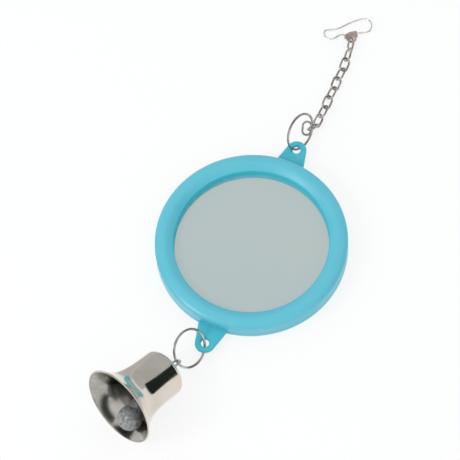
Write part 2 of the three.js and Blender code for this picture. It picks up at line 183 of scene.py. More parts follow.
def bell_place():
    """Where the bell lies: crown at the origin, mouth along minus z, the clapper's hinge along x."""
    hinge, x, z = hung_axes("bell_shell")
    crown = float((node_points("bell_shell") @ np.array(z)).max())
    return placement(hinge + z * (crown - hinge.dot(z)), x, z)


def clip_place(sizes):
    """Where the clip lies: its length along x from its heel, its width along y and its face along z."""
    heel, z = joint_named("clip_gate_open")
    reach = square_to(mount_place("hang_clip") - heel, z)
    lean = math.atan2(sizes.eye_across, sizes.eye_along - sizes.heel_along)
    x = Matrix.Rotation(-lean, 3, z) @ reach
    return placement(heel - x * sizes.heel_along, x, z)


# Sizes and colours that a user would change


def length(name, description, default):
    """A length property."""
    return FloatProperty(name=name, description=description, default=default, unit="LENGTH", precision=5)


def mm(name, description, millimetres):
    """A length property, given in millimetres."""
    return length(name, description, millimetres * MM)


def turn(name, description, degrees):
    """An angle property, given in degrees."""
    default = math.radians(degrees)
    return FloatProperty(name=name, description=description, default=default, subtype="ANGLE")


def colour(name, description, default):
    """A colour property."""
    return FloatVectorProperty(
        name=name, description=description, default=default, size=3, min=0, max=1, subtype="COLOR"
    )


def plain(name, description, default):
    """A plain number property."""
    return FloatProperty(name=name, description=description, default=default)


class MirrorSizes(bpy.types.PropertyGroup):
    """Sizes of the moulded frame and of what it holds."""

    frame_radius: length("Frame radius", "Outside radius of the frame", moulding_high.x)
    frame_height: length("Frame height", "Height of the crest above the back", moulding_high.z)
    crest_inset: mm("Crest inset", "How far the crest is inside the outer wall", 3.6)
    crest_round: mm("Crest round", "Height of the round outer shoulder", 1.8)
    opening_radius: mm("Opening radius", "Radius of the opening round the glass", 28.2)
    lip_height: mm("Lip height", "Height of the bezel's inner edge above the back", 6.3)
    lip_shade: mm("Lip shade", "Width of the deeper colour along the inner edge", 0.6)
    inner_bow: plain("Inner bow", "How much the bezel steepens towards its inner edge", 1.4)
    foot_round: mm("Foot round", "Radius of the rear edge", 0.7)
    bore_radius: mm("Bore radius", "Radius of the rear opening for the cover", 31.0)
    parting_height: mm("Parting line", "Height of the mould's parting line", 2.9)
    parting_depth: mm("Parting depth", "How deep the parting line is", 0.04)
    glass_radius: length("Glass radius", "Radius of the mirror", glass_high.x)
    glass_bevel: mm("Glass bevel", "Ground edge of the glass", 0.25)
    cover_radius: mm("Cover radius", "Radius of the rear cover", 30.9)
    cover_thick: length("Cover thickness", "Thickness of the rear cover", cover_high.z)
    groove_inner: mm("Groove inside", "Inner radius of the cover's groove", 25.2)
    groove_outer: mm("Groove outside", "Outer radius of the cover's groove", 26.4)
    groove_depth: mm("Groove depth", "Depth of the cover's groove", 0.4)
    pin_mark: mm("Pin mark", "Radius of the mould's round pin marks", 1.6)
    pin_circle: mm("Pin circle", "Radius of the circle of pin marks", 17.0)
    lug_tip: mm("Lug tip", "Radius of a lug's round tip", 3.7)
    lug_root: mm("Lug root", "Half width of a lug where it meets the frame", 6.2)
    lug_hole: mm("Lug hole", "Radius of a lug's hole", 1.5)
    lug_edge: mm("Lug edge", "Round of a lug's edges", 0.85)
    lug_thick: mm("Lug thickness", "Thickness of a lug", 1.8)
    lug_mid: mm("Lug height", "Height of a lug's middle above the back", 2.9)
    lug_sink: mm("Lug sink", "How far a lug runs into the frame's wall", 2.5)


class WireSizes(bpy.types.PropertyGroup):
    """Sizes of the rings, the chain and the clip."""

    ring_radius: mm("Ring radius", "Radius of a jump ring at the middle of its wire", 6.95)
    ring_wire: mm("Ring wire", "Thickness of a jump ring's wire", 0.9)
    ring_seam: turn("Ring seam", "Place of a ring's butt joint, from the far side of the lug", 48)
    link_wire: mm("Link wire", "Thickness of a link's wire", 0.8)
    link_length: mm("Link length", "Length of a link at the middle of its wire", 5.31)
    link_width: mm("Link width", "Width of a link at the middle of its wire", 3.1)
    seam_gap: mm("Seam gap", "Gap at a butt joint", 0.12)
    clip_wire: mm("Clip wire", "Thickness of the clip's wire", 0.71)
    clip_length: mm("Clip length", "Length of the clip", 18.5)
    clip_half: mm("Clip half width", "Half width of the clip", 3.6)
    heel_along: mm("Heel place", "Where the clip's heel is along it", -0.25)
    eye_along: mm("Eye place", "Where the clip's eye is along it", 15.4)
    eye_across: mm("Eye side", "Where the clip's eye is across it", 0.4)
    clasp_sheet: mm("Clasp sheet", "Thickness of the clasp's folded sheet", 0.4)
    clasp_length: mm("Clasp length", "Length of the clasp along the clip", 5.0)
    clasp_mid: mm("Clasp place", "Where the clasp's middle is along the clip", 9.4535)
    clasp_wall: mm("Clasp fold", "Where the clasp's fold is across the clip", -3.204)
    clasp_open: mm("Clasp mouth", "Where the clasp's open edges are across the clip", -1.604)
    clasp_cut: mm("Clasp corner", "Cut across the clasp's corner on the heel's side", 1.1)
    tab_hole: mm("Tab hole", "Radius of the hole for the last link", 1.0)
    tab_rim: mm("Tab rim", "Width of metal round that hole", 0.9)
    tab_set: mm("Tab set", "Distance of the hole from the clasp's fold", 1.6)


class BellSizes(bpy.types.PropertyGroup):
    """Sizes of the bell, its eye and its clapper."""

    height: mm("Bell height", "Height of the bell", 24)
    mouth_radius: mm("Mouth radius", "Radius of the bell's mouth", 14.905)
    crown_radius: mm("Crown radius", "Radius of the bell below its shoulder", 8.85)
    shoulder: mm("Shoulder", "Round of the bell's shoulder", 2.4)
    dome: mm("Dome", "Rise of the crown's middle", 0.15)
    flare: plain("Flare", "How late the bell opens towards its mouth", 3.8)
    wall: mm("Bell wall", "Thickness of the bell's sheet", 0.7)
    lip: mm("Bell lip", "Round of the bell's edge", 0.3)
    crown_hole: mm("Crown hole", "Radius of the hole in the crown", 1.25)
    eye_wire: mm("Eye wire", "Thickness of the eye's wire", 0.9)
    eye_top: mm("Eye top", "Height of the eye above the crown", 5.9)
    eye_half: mm("Eye half width", "Half width of the eye above the crown", 1.45)
    foot_drop: mm("Foot drop", "Depth of the eye's lower loop below the crown", 4.9)
    foot_half: mm("Foot half width", "Half width of the eye's lower loop", 1.65)
    neck_half: mm("Neck half width", "Half the distance between the wires in the crown", 0.57)
    neck_gap: mm("Neck clearance", "Straight wire past each face of the crown", 0.04)
    clapper_length: mm("Clapper length", "From its hinge to the middle of its ball", 17.6)
    clapper_radius: mm("Clapper radius", "Radius of the clapper's ball", 4.5)
    clapper_stem: mm("Clapper stem", "Radius of the clapper's stem", 1.0)
    clapper_eye: mm("Clapper eye", "Radius of the hole in the clapper", 0.8)
    clapper_rim: mm("Clapper rim", "Width of metal round that hole", 1.0)
    clapper_thick: mm("Clapper eye thickness", "Thickness of the clapper's flat eye", 1.1)


class FinishColours(bpy.types.PropertyGroup):
    """Colours of the finishes."""

    plastic: colour("Plastic", "Turquoise of the moulded plastic", (0.105, 0.515, 0.645))
    plastic_deep: colour("Plastic shade", "Deeper turquoise in the plastic", (0.088, 0.49, 0.62))
    # Painted shade: a deeper turquoise laid on the recess wall and the lugs, where shade falls
    plastic_painted_shade: colour("Thin plastic", "Turquoise painted as shade on the recess wall and the lugs", (0.015, 0.455, 0.57))
    silver: colour("Silvering", "Tint of the mirror", (0.76, 0.84, 0.82))
    silver_haze: colour("Silvering haze", "Tint of the mirror where it is hazy", (0.72, 0.82, 0.83))
    nickel: colour("Nickel", "Plated wire", (0.63, 0.6, 0.57))
    nickel_worn: colour("Worn nickel", "Plated wire where it is worn", (0.3, 0.27, 0.25))
    eye: colour("Bell eye", "Plated wire of the bell's eye", (0.62, 0.6, 0.56))
    spring: colour("Spring wire", "Bright wire of the clip", (0.97, 0.97, 0.95))
    spring_worn: colour("Worn spring wire", "Dull patches on the clip", (0.8, 0.79, 0.74))
    clasp: colour("Clasp", "Folded sheet of the clasp", (0.72, 0.6, 0.54))
    clasp_worn: colour("Worn clasp", "Worn places on the clasp", (0.3, 0.22, 0.185))
    bell: colour("Bell", "Plating of the bell", (0.74, 0.67, 0.59))
    bell_dull: colour("Dull bell", "Clouded plating of the bell", (0.64, 0.58, 0.52))
    bell_inside: colour("Bell inside", "Thin plating inside the bell", (0.50, 0.48, 0.45))
    bell_stain: colour("Stained inside", "Stains inside the bell", (0.36, 0.345, 0.31))
    zinc: colour("Casting", "Grey casting of the clapper", (0.42, 0.43, 0.42))
    zinc_dark: colour("Dark casting", "Dark pits in the clapper", (0.10, 0.105, 0.105))
    card: colour("Backing pad", "Pale card behind the glass", (0.72, 0.68, 0.6))
    floor: colour("Floor", "Pale floor", (0.92, 0.92, 0.92))
    room: colour("Room", "Tint of the room round the object", (0.96, 1.0, 1.0))
    dark: colour("Dark card", "Card that the bell and the wires reflect", (0.012, 0.02, 0.016))


class StageSizes(bpy.types.PropertyGroup):
    """The camera, the lights and the cards that are seen in reflections."""

    azimuth: turn("Azimuth", "Way round to the camera", 28.3)
    elevation: turn("Elevation", "Height of the camera over the horizon", 64.3)
    roll: turn("Roll", "Lean of the camera", -5.5)
    distance: length("Distance", "From the camera to the mirror", 0.8)
    target_height: mm("Target height", "Height that the camera looks at", 2.7)
    lens: plain("Lens", "Focal length in millimetres on a 36 mm sensor", 172.5)
    shift_x: plain("Shift across", "Shift of the picture across, in shares of its width", -0.0472)
    shift_y: plain("Shift up", "Shift of the picture up, in shares of its width", 0.0330)
    room: plain("Room", "Brightness of the room that lights the object", 0.93)
    key: plain("Key light", "Power of the large light, in watts", 0.75)
    key_azimuth: turn("Key azimuth", "Way round to the large light", -38)
    key_elevation: turn("Key elevation", "Height of the large light over the horizon", 40)
    key_distance: length("Key distance", "From the mirror to the large light", 0.6)
    key_size: length("Key size", "Width of the large light", 0.14)
    back_grey: plain("Grey card", "Brightness of the grey card", 0.54)
    back_azimuth: turn("Grey card azimuth", "Way round to the grey card", -170)
    back_elevation: turn("Grey card elevation", "Height of the grey card over the horizon", 35)
    back_distance: length("Grey card distance", "From the mirror to the grey card", 0.6)
    back_size: length("Grey card size", "Width of the grey card", 1.25)
    floor_card: length("Floor card", "Width of the grey card that lies beside the bell", 0.7)
    card_distance: length("Card distance", "From the bell to each dark card", 0.3)


# Mesh tools


def arc(centre, radius, start, end, steps):
    """Points of an arc in a flat drawing, with its angles in degrees."""
    angles = np.radians(np.linspace(start, end, steps + 1))
    return [(centre[0] + radius * math.cos(a), centre[1] + radius * math.sin(a)) for a in angles]


def smooth_line(points, per_span):
    """A smooth open line through points, with the pull of each span set by its length."""
    points = [Vector(p) for p in points]
    padded = [2 * points[0] - points[1], *points, 2 * points[-1] - points[-2]]
    line = []
    for i in range(len(padded) - 3):
        a, b, c, d = padded[i : i + 4]
        t0 = 0.0
        t1 = t0 + math.sqrt((b - a).length)
        t2 = t1 + math.sqrt((c - b).length)
        t3 = t2 + math.sqrt((d - c).length)
        for k in range(per_span):
            t = t1 + (t2 - t1) * k / per_span
            ab = a.lerp(b, (t - t0) / (t1 - t0))
            bc = b.lerp(c, (t - t1) / (t2 - t1))
            cd = c.lerp(d, (t - t2) / (t3 - t2))
            left = ab.lerp(bc, (t - t0) / (t2 - t0))
            right = bc.lerp(cd, (t - t1) / (t3 - t1))
            line.append(left.lerp(right, (t - t1) / (t2 - t1)))
    return [*line, points[-1]]


def turned(bm, profile, segments, closed=True, on_axis=1e-9):
    """Adds a surface turned about z from (radius, height) pairs; points on the axis stay single."""
    axis = {}
    rings = []
    for i in range(segments):
        angle = 2 * math.pi * i / segments
        ring = []
        for j, (r, z) in enumerate(profile):
            if r < on_axis:
                axis[j] = axis.get(j) or bm.verts.new((0, 0, z))
                ring.append(axis[j])
            else:
                ring.append(bm.verts.new((r * math.cos(angle), r * math.sin(angle), z)))
        rings.append(ring)
    count = len(profile)
    for i, ring in enumerate(rings):
        after = rings[(i + 1) % segments]
        for j in range(count if closed else count - 1):
            k = (j + 1) % count
            corners = list(dict.fromkeys((ring[j], after[j], after[k], ring[k])))
            if len(corners) > 2:
                bm.faces.new(corners)


def swept(bm, line, radius, sides, closed=False, rounding=0.25):
    """Adds a round wire along a line of points. Open ends are slightly rounded."""
    line = [Vector(p) for p in line]
    count = len(line)
    tangents = []
    for i in range(count):
        before = line[i - 1] if closed or i else line[i]
        after = line[(i + 1) % count] if closed or i < count - 1 else line[i]
        tangents.append((after - before).normalized())
    across = tangents[0].orthogonal().normalized()
    rings = []

    def ring_at(point, tangent, side, size):
        up = tangent.cross(side)
        ring = []
        for k in range(sides):
            angle = 2 * math.pi * k / sides
            ring.append(bm.verts.new(point + (side * math.cos(angle) + up * math.sin(angle)) * size))
        return ring

    for i, (point, tangent) in enumerate(zip(line, tangents)):
        across = square_to(across, tangent)
        if not closed and i in (0, count - 1):
            inward = tangent if i == 0 else -tangent
            small = ring_at(point, tangent, across, radius * (1 - rounding))
            full = ring_at(point + inward * radius * rounding, tangent, across, radius)
            rings.extend((small, full) if i == 0 else (full, small))
        else:
            rings.append(ring_at(point, tangent, across, radius))
    twist = 0
    if closed:
        first, last = rings[0], rings[-1]
        twist = min(range(sides), key=lambda s: (first[s].co - last[0].co).length)
    for i in range(len(rings) if closed else len(rings) - 1):
        ring = rings[i]
        after = rings[(i + 1) % len(rings)]
        shift = twist if closed and i == len(rings) - 1 else 0
        for k in range(sides):
            n = (k + 1) % sides
            bm.faces.new((ring[k], ring[n], after[(n + shift) % sides], after[(k + shift) % sides]))
    if not closed:
        bm.faces.new(rings[0])
        bm.faces.new(list(reversed(rings[-1])))


def plate(bm, outline, holes, half_thick, edge, height, steps=3):
    """Adds a flat plate with round edges from drawn outlines, centred at a height."""
    drawing = bpy.data.curves.new("plate drawing", "CURVE")
    drawing.dimensions = "2D"
    drawing.fill_mode = "BOTH"
    drawing.extrude = half_thick - edge
    drawing.bevel_depth = edge
    drawing.bevel_resolution = steps
    drawing.offset = -edge
    for points in (outline, *holes):
        spline = drawing.splines.new("POLY")
        spline.points.add(len(points) - 1)
        for slot, (x, y) in zip(spline.points, points):
            slot.co = (x, y, 0, 1)
        spline.use_cyclic_u = True
    holder = bpy.data.objects.new("plate drawing", drawing)
    bpy.context.scene.collection.objects.link(holder)
    bpy.context.view_layer.update()
    mesh = bpy.data.meshes.new_from_object(holder.evaluated_get(bpy.context.evaluated_depsgraph_get()))
    mesh.transform(Matrix.Translation((0, 0, height)))
    bm.from_mesh(mesh)
    bpy.data.objects.remove(holder)
    bpy.data.curves.remove(drawing)
    bpy.data.meshes.remove(mesh)


def new_piece(name, bm, finish, place=Matrix.Identity(4), sharp=42, merge=1e-7):
    """Makes an object of a bmesh, moved to its place, with edges kept sharp past an angle in degrees."""
    bmesh.ops.remove_doubles(bm, verts=bm.verts, dist=merge)
    bmesh.ops.recalc_face_normals(bm, faces=bm.faces)
    mesh = bpy.data.meshes.new(name)
    bm.to_mesh(mesh)
    bm.free()
    mesh.shade_smooth()
    mesh.set_sharp_from_angle(angle=math.radians(sharp))
    mesh.transform(place)
    mesh.materials.append(finish)
    piece = bpy.data.objects.new(name, mesh)
    bpy.context.scene.collection.objects.link(piece)
    return piece


def wire_piece(name, line, thick, finish, place, sides=WIRE_SIDES):
    """Makes an object of a round wire along a line of points."""
    bm = bmesh.new()
    swept(bm, line, thick / 2, sides)
    return new_piece(name, bm, finish, place)


def seat(piece, body, slot, *nodes):
    """Ties a piece to its body and hides the nodes that it stands for."""
    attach(piece, body)
    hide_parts(*nodes)


# Shader tools


def feed(tree, socket, value):
    """Links a socket to another one, or sets its value."""
    if isinstance(value, bpy.types.NodeSocket):
        tree.links.new(value, socket)
    else:
        socket.default_value = value


def add_node(tree, kind, inputs=None, **settings):
    """Adds a shader node; an input is a socket to link or a value to set."""
    node = tree.nodes.new(kind)
    for key, value in settings.items():
        setattr(node, key, value)
    for key, value in (inputs or {}).items():
        feed(tree, node.inputs[key], value)
    return node


def set_inputs(tree, shader, **values):
    """Sets or links a shader's inputs; underscores stand for spaces."""
    for key, value in values.items():
        feed(tree, shader.inputs[key.replace("_", " ")], value)


def maths(tree, operation, *values, clamp=False):
    """A maths node's result."""
    node = add_node(tree, "ShaderNodeMath", dict(enumerate(values)), operation=operation, use_clamp=clamp)
    return node.outputs[0]


def mix_colours(tree, share, first, second):
    """One colour mixed into another; the node's sockets for colours go by their place."""
    return add_node(tree, "ShaderNodeMix", {0: share, 6: first, 7: second}, data_type="RGBA").outputs[2]


def mix_shaders(tree, share, first, second):
    """One shader mixed into another."""
    return add_node(tree, "ShaderNodeMixShader", {0: share, 1: first, 2: second}).outputs[0]


def ranged(tree, value, low, high, to_low=0.0, to_high=1.0):
    """A value carried smoothly from one range to another."""
    inputs = {"Value": value, "From Min": low, "From Max": high, "To Min": to_low, "To Max": to_high}
    node = add_node(tree, "ShaderNodeMapRange", inputs, interpolation_type="SMOOTHSTEP")
    return node.outputs["Result"]


def noise(tree, place, scale, detail, **more):
    """The value of a noise texture."""
    inputs = {"Vector": place, "Scale": scale, "Detail": detail, **more}
    return add_node(tree, "ShaderNodeTexNoise", inputs).outputs["Fac"]


def bumped(tree, height, depth):
    """A normal raised by a height."""
    return add_node(tree, "ShaderNodeBump", {"Height": height, "Distance": depth}).outputs["Normal"]


def surface_place(tree):
    """A piece's coordinates in the frame at rest, which ride along with it."""
    return add_node(tree, "ShaderNodeTexCoord").outputs["Object"]


def own_place(tree, place):
    """A piece's coordinates set back from its place to its own axes."""
    back = place.inverted()
    turns = {"Location": back.to_translation(), "Rotation": back.to_euler()}
    inputs = {"Vector": surface_place(tree), **turns}
    return add_node(tree, "ShaderNodeMapping", inputs).outputs["Vector"]


def from_axis(tree, place):
    """How far a place is from the z axis, and its height."""
    height = add_node(tree, "ShaderNodeSeparateXYZ", {0: place}).outputs["Z"]
    flat = add_node(tree, "ShaderNodeVectorMath", {0: place, 1: (1, 1, 0)}, operation="MULTIPLY").outputs[0]
    radius = add_node(tree, "ShaderNodeVectorMath", {0: flat}, operation="LENGTH").outputs["Value"]
    return radius, height


def rgba(value):
    """A colour property as a shader colour."""
    return (*value, 1.0)


def shaded(value, share):
    """A colour made darker."""
    return tuple(c * share for c in value)


def effect(tree, name, values, outputs, build):
    """Places a node group with its own values and gives its outputs. The group is made at its first use."""
    group = bpy.data.node_groups.get(name)
    if not group:
        group = bpy.data.node_groups.new(name, "ShaderNodeTree")
        for label, value in values.items():
            kind = "NodeSocketColor" if isinstance(value, tuple) else "NodeSocketFloat"
            socket = group.interface.new_socket(name=label, in_out="INPUT", socket_type=kind)
            socket.default_value = value
        for label in outputs:
            kind = "NodeSocketColor" if label == "Color" else "NodeSocketFloat"
            group.interface.new_socket(name=label, in_out="OUTPUT", socket_type=kind)
        start = group.nodes.new("NodeGroupInput")
        end = group.nodes.new("NodeGroupOutput")
        for label, socket in build(group, start.outputs).items():
            group.links.new(socket, end.inputs[label])
    return add_node(tree, "ShaderNodeGroup", values, node_tree=group).outputs


# Where noise is cut into marks, and how deep its pits go
NOISE_MIDDLE = 0.5
CLOUD_RANGE = (0.35, 0.7)
SCRATCHED_RANGE = (0.45, 0.65)
HAIRLINE_WIDTH = 0.012
PIT_DEPTH = 0.6

# Turns and stretches that draw noise out into two crossing sets of hairlines
STREAKS = (((0.3, 0.1, 0.7), (1, 60, 8)), ((1.1, 0.5, -0.6), (50, 1, 9)))


def tint_drift(tree, first, second, scale, spread):
    """Two near colours that drift into each other over a surface, and the share of the second."""

    def build(group, given):
        value = noise(group, surface_place(group), given["Scale"], detail=3.0)
        low = maths(group, "SUBTRACT", NOISE_MIDDLE, given["Spread"])
        high = maths(group, "ADD", NOISE_MIDDLE, given["Spread"])
        share = ranged(group, value, low, high)
        return {"Color": mix_colours(group, share, given["First"], given["Second"]), "Share": share}

    values = {"First": rgba(first), "Second": rgba(second), "Scale": scale, "Spread": spread}
    return effect(tree, "Tint Drift", values, ("Color", "Share"), build)


def handling_marks(tree, cloud_scale, line_scale):
    """Cloudy finger marks and fine hairlines in crossing directions."""

    def build(group, given):
        place = surface_place(group)
        clouds = ranged(group, noise(group, place, given["Cloud Scale"], detail=4.0), *CLOUD_RANGE)
        lines = 0.0
        for angles, stretch in STREAKS:
            inputs = {"Vector": place, "Rotation": angles, "Scale": stretch}
            drawn_out = add_node(group, "ShaderNodeMapping", inputs).outputs["Vector"]
            streak = noise(group, drawn_out, given["Line Scale"], detail=2.0)
            off = maths(group, "ABSOLUTE", maths(group, "SUBTRACT", streak, NOISE_MIDDLE))
            line = ranged(group, off, 0.0, HAIRLINE_WIDTH, 1.0, 0.0)
            lines = maths(group, "MAXIMUM", lines, line)
        patches = noise(group, place, given["Cloud Scale"], detail=1.0)
        lines = maths(group, "MULTIPLY", lines, ranged(group, patches, *SCRATCHED_RANGE))
        return {"Clouds": clouds, "Hairlines": lines}

    values = {"Cloud Scale": cloud_scale, "Line Scale": line_scale}
    return effect(tree, "Handling Marks", values, ("Clouds", "Hairlines"), build)


def surface_grain(tree, scale, pit_scale, pit_size):
    """A fine uneven surface, as a height for bumps and as pits."""

    def build(group, given):
        place = surface_place(group)
        fine = noise(group, place, given["Scale"], detail=3.0, Roughness=0.55)
        cells = add_node(group, "ShaderNodeTexVoronoi", {"Vector": place, "Scale": given["Pit Scale"]})
        pits = ranged(group, cells.outputs["Distance"], 0.0, given["Pit Size"], 1.0, 0.0)
        height = maths(group, "SUBTRACT", fine, maths(group, "MULTIPLY", pits, PIT_DEPTH))
        return {"Height": height, "Pits": pits}

    values = {"Scale": scale, "Pit Scale": pit_scale, "Pit Size": pit_size}
    return effect(tree, "Surface Grain", values, ("Height", "Pits"), build)


def new_finish(name):
    """An empty material with its shader, made ready to be filled."""
    finish = bpy.data.materials.new(name)
    finish.use_nodes = True
    return finish, finish.node_tree, finish.node_tree.nodes["Principled BSDF"]


# Finishes

# How rough each finish is at its smoothest, and how much each of its masks adds
# The plastic's painted-shade mask, on its recess wall and lugs, also makes it rougher
PLASTIC_ROUGH = {"Least": 0.32, "Clouds": 0.1, "Hairlines": 0.15, "Thin": 0.35}
MIRROR_ROUGH = {"Least": 0.025, "Clouds": 0.02, "Hairlines": 0.05, "Pits": 0.12}
BELL_ROUGH = {"Least": 0.08, "Clouds": 0.05, "Hairlines": 0.12, "Lines": 0.04, "Inside": 0.08}
CASTING_ROUGH = {"Least": 0.42, "Share": 0.22}
PLATED_HAIRLINES = 0.1

# How strongly pits, hairlines and fibres tint what they are in
PIT_TINT = 0.35
PIT_SHADE = 0.6
FIBRE_SHADE = 0.8
HAIRLINE_TINT = 0.25
HAIRLINE_GAIN = 1.25
HAIRLINE_LIFT = 0.04

# The scales of clouds and hairlines on plated metal, in shares of the scale of its worn patches
CLOUDS_TO_WEAR = 1.7
LINES_TO_WEAR = 0.4

# The bell's turning lines to the metre, and the shares of lines and dents in its relief
TURNING_LINES = 9000.0
LINE_RELIEF = 0.25
DENT_RELIEF = 3.0

# How much of the floor is the room's own white
FLOOR_WHITE = 0.8


def roughened(tree, amounts, **masks):
    """A roughness raised by masks, each by its own amount; a mask without an amount is left out."""
    rough = amounts["Least"]
    for name, mask in masks.items():
        if name in amounts:
            rough = maths(tree, "MULTIPLY_ADD", mask, amounts[name], rough)
    return rough


def painted_shade_places(tree, s):
    """A mask of painted shade on the frame: the wall of its recess, which fades over the lip, and its lugs."""
    lug_start = s.frame_radius + 0.1 * MM
    lug_share = 0.7
    radius, height = from_axis(tree, surface_place(tree))
    inner = ranged(tree, radius, s.opening_radius, s.opening_radius + s.lip_shade, 1.0, 0.0)
    recess = maths(tree, "MULTIPLY", inner, maths(tree, "GREATER_THAN", height, glass_high.z))
    lugs = maths(tree, "MULTIPLY", maths(tree, "GREATER_THAN", radius, lug_start), lug_share)
    return maths(tree, "MAXIMUM", recess, lugs)


def plastic_finish(colours, s):
    """Glossy moulded plastic with a faint orange peel, drifting pigment, handling marks, and painted shade on its
    recess wall and lugs.
    """
    found = bpy.data.materials.get("turquoise plastic")
    if found:
        return found
    finish, tree, shader = new_finish("turquoise plastic")
    pigment = tint_drift(tree, colours.plastic, colours.plastic_deep, scale=70.0, spread=0.3)
    marks = handling_marks(tree, cloud_scale=55.0, line_scale=30.0)
    peel = surface_grain(tree, scale=1300.0, pit_scale=420.0, pit_size=0.08)
    painted_shade = painted_shade_places(tree, s)
    # Painted shade: the recess wall and the lugs are mixed towards a deeper turquoise
    base = mix_colours(tree, painted_shade, pigment["Color"], rgba(colours.plastic_painted_shade))
    pale = tuple(min(1.0, c * HAIRLINE_GAIN + HAIRLINE_LIFT) for c in colours.plastic)
    scuffs = maths(tree, "MULTIPLY", marks["Hairlines"], HAIRLINE_TINT)
    set_inputs(
        tree,
        shader,
        Base_Color=mix_colours(tree, scuffs, base, rgba(pale)),
        Roughness=roughened(tree, PLASTIC_ROUGH, **marks, Thin=painted_shade),
        Normal=bumped(tree, peel["Height"], depth=0.02 * MM),
        Specular_IOR_Level=0.65,
        Subsurface_Weight=0.06,
        Subsurface_Radius=(0.4, 0.9, 1.0),
        Subsurface_Scale=1.2 * MM,
    )
    return finish


def mirror_finish(colours):
    """Silvered glass with a faint haze, hairlines and dust."""
    finish, tree, shader = new_finish("silvered glass")
    haze = tint_drift(tree, colours.silver, colours.silver_haze, scale=14.0, spread=0.35)
    marks = handling_marks(tree, cloud_scale=35.0, line_scale=16.0)
    dust = surface_grain(tree, scale=600.0, pit_scale=260.0, pit_size=0.045)
    rough = roughened(tree, MIRROR_ROUGH, **marks, **dust)
    set_inputs(tree, shader, Base_Color=haze["Color"], Metallic=0.84, Roughness=rough)
    return finish


def card_finish(colours):
    """Soft fibrous card."""
    finish, tree, shader = new_finish("backing card")
    fibre = tint_drift(tree, colours.card, shaded(colours.card, FIBRE_SHADE), scale=900.0, spread=0.2)
    grain = surface_grain(tree, scale=1500.0, pit_scale=700.0, pit_size=0.2)
    normal = bumped(tree, grain["Height"], depth=0.05 * MM)
    set_inputs(tree, shader, Base_Color=fibre["Color"], Roughness=0.92, Normal=normal)
    return finish


def plated_finish(name, bright, worn, cloud, shine, spread=0.12, dents=0.012 * MM):
    """Plated metal that is duller and darker in patches."""
    finish, tree, shader = new_finish(name)
    plating = tint_drift(tree, bright, worn, scale=cloud, spread=0.22)
    marks = handling_marks(tree, cloud_scale=cloud * CLOUDS_TO_WEAR, line_scale=cloud * LINES_TO_WEAR)
    grain = surface_grain(tree, scale=2200.0, pit_scale=900.0, pit_size=0.12)
    pits = maths(tree, "MULTIPLY", grain["Pits"], PIT_TINT)
    amounts = {"Least": shine, "Clouds": spread, "Share": spread, "Hairlines": PLATED_HAIRLINES}
    base = mix_colours(tree, pits, plating["Color"], rgba(shaded(worn, PIT_SHADE)))
    rough = roughened(tree, amounts, **marks, **plating)
    normal = bumped(tree, grain["Height"], depth=dents)
    set_inputs(tree, shader, Base_Color=base, Metallic=1.0, Roughness=rough, Normal=normal)
    return finish


def bell_inside(tree, radius, height, b):
    """A mask of the bell's inner wall, from the radius of the middle of the sheet at each height."""
    top = -b.dome - b.shoulder
    span = top - b.lip + b.height
    fall = maths(tree, "DIVIDE", maths(tree, "SUBTRACT", top, height), span, clamp=True)
    opening = maths(tree, "POWER", fall, b.flare)
    widening = b.mouth_radius - b.crown_radius
    middle = maths(tree, "MULTIPLY_ADD", opening, widening, b.crown_radius - b.wall / 2)
    below = maths(tree, "LESS_THAN", height, top)
    return maths(tree, "MULTIPLY", maths(tree, "LESS_THAN", radius, middle), below)


def bell_finish(colours, place, b):
    """Bright plating over spun sheet, dull inside: clouds, hairlines and turning lines round the axis."""
    finish, tree, shader = new_finish("bell plating")
    radius, height = from_axis(tree, own_place(tree, place))
    inside = bell_inside(tree, radius, height, b)
    plating = tint_drift(tree, colours.bell, colours.bell_dull, scale=130.0, spread=0.3)
    bare = tint_drift(tree, colours.bell_inside, colours.bell_stain, scale=180.0, spread=0.2)
    marks = handling_marks(tree, cloud_scale=110.0, line_scale=55.0)
    wobble = noise(tree, surface_place(tree), scale=90.0, detail=2.0)
    inputs = {"W": maths(tree, "MULTIPLY", height, TURNING_LINES), "Scale": 1.0, "Detail": 2.0}
    lines = add_node(tree, "ShaderNodeTexNoise", inputs, noise_dimensions="1D").outputs["Fac"]
    dents = maths(tree, "MULTIPLY", wobble, DENT_RELIEF)
    relief = maths(tree, "MULTIPLY_ADD", lines, LINE_RELIEF, dents)
    base = mix_colours(tree, inside, plating["Color"], bare["Color"])
    rough = roughened(tree, BELL_ROUGH, **marks, Lines=lines, Inside=inside)
    normal = bumped(tree, relief, depth=0.012 * MM)
    set_inputs(tree, shader, Base_Color=base, Metallic=1.0, Roughness=rough, Normal=normal)
    return finish


def casting_finish(colours):
    """Dull grey casting with dark pits and worn high spots."""
    finish, tree, shader = new_finish("zinc casting")
    patches = tint_drift(tree, colours.zinc, colours.zinc_dark, scale=1000.0, spread=0.3)
    grain = surface_grain(tree, scale=2000.0, pit_scale=1300.0, pit_size=0.36)
    pits = maths(tree, "MULTIPLY", grain["Pits"], PIT_TINT)
    base = mix_colours(tree, pits, patches["Color"], rgba(colours.zinc_dark))
    rough = roughened(tree, CASTING_ROUGH, **patches)
    normal = bumped(tree, grain["Height"], depth=0.09 * MM)
    set_inputs(tree, shader, Base_Color=base, Metallic=0.25, Roughness=rough, Normal=normal)
    return finish


def shows_background(tree):
    """One for rays that see the white background, straight or in metal and glass."""
    light = add_node(tree, "ShaderNodeLightPath").outputs
    seen = maths(tree, "ADD", light["Is Camera Ray"], light["Is Glossy Ray"])
    return maths(tree, "ADD", seen, light["Is Transmission Ray"], clamp=True)


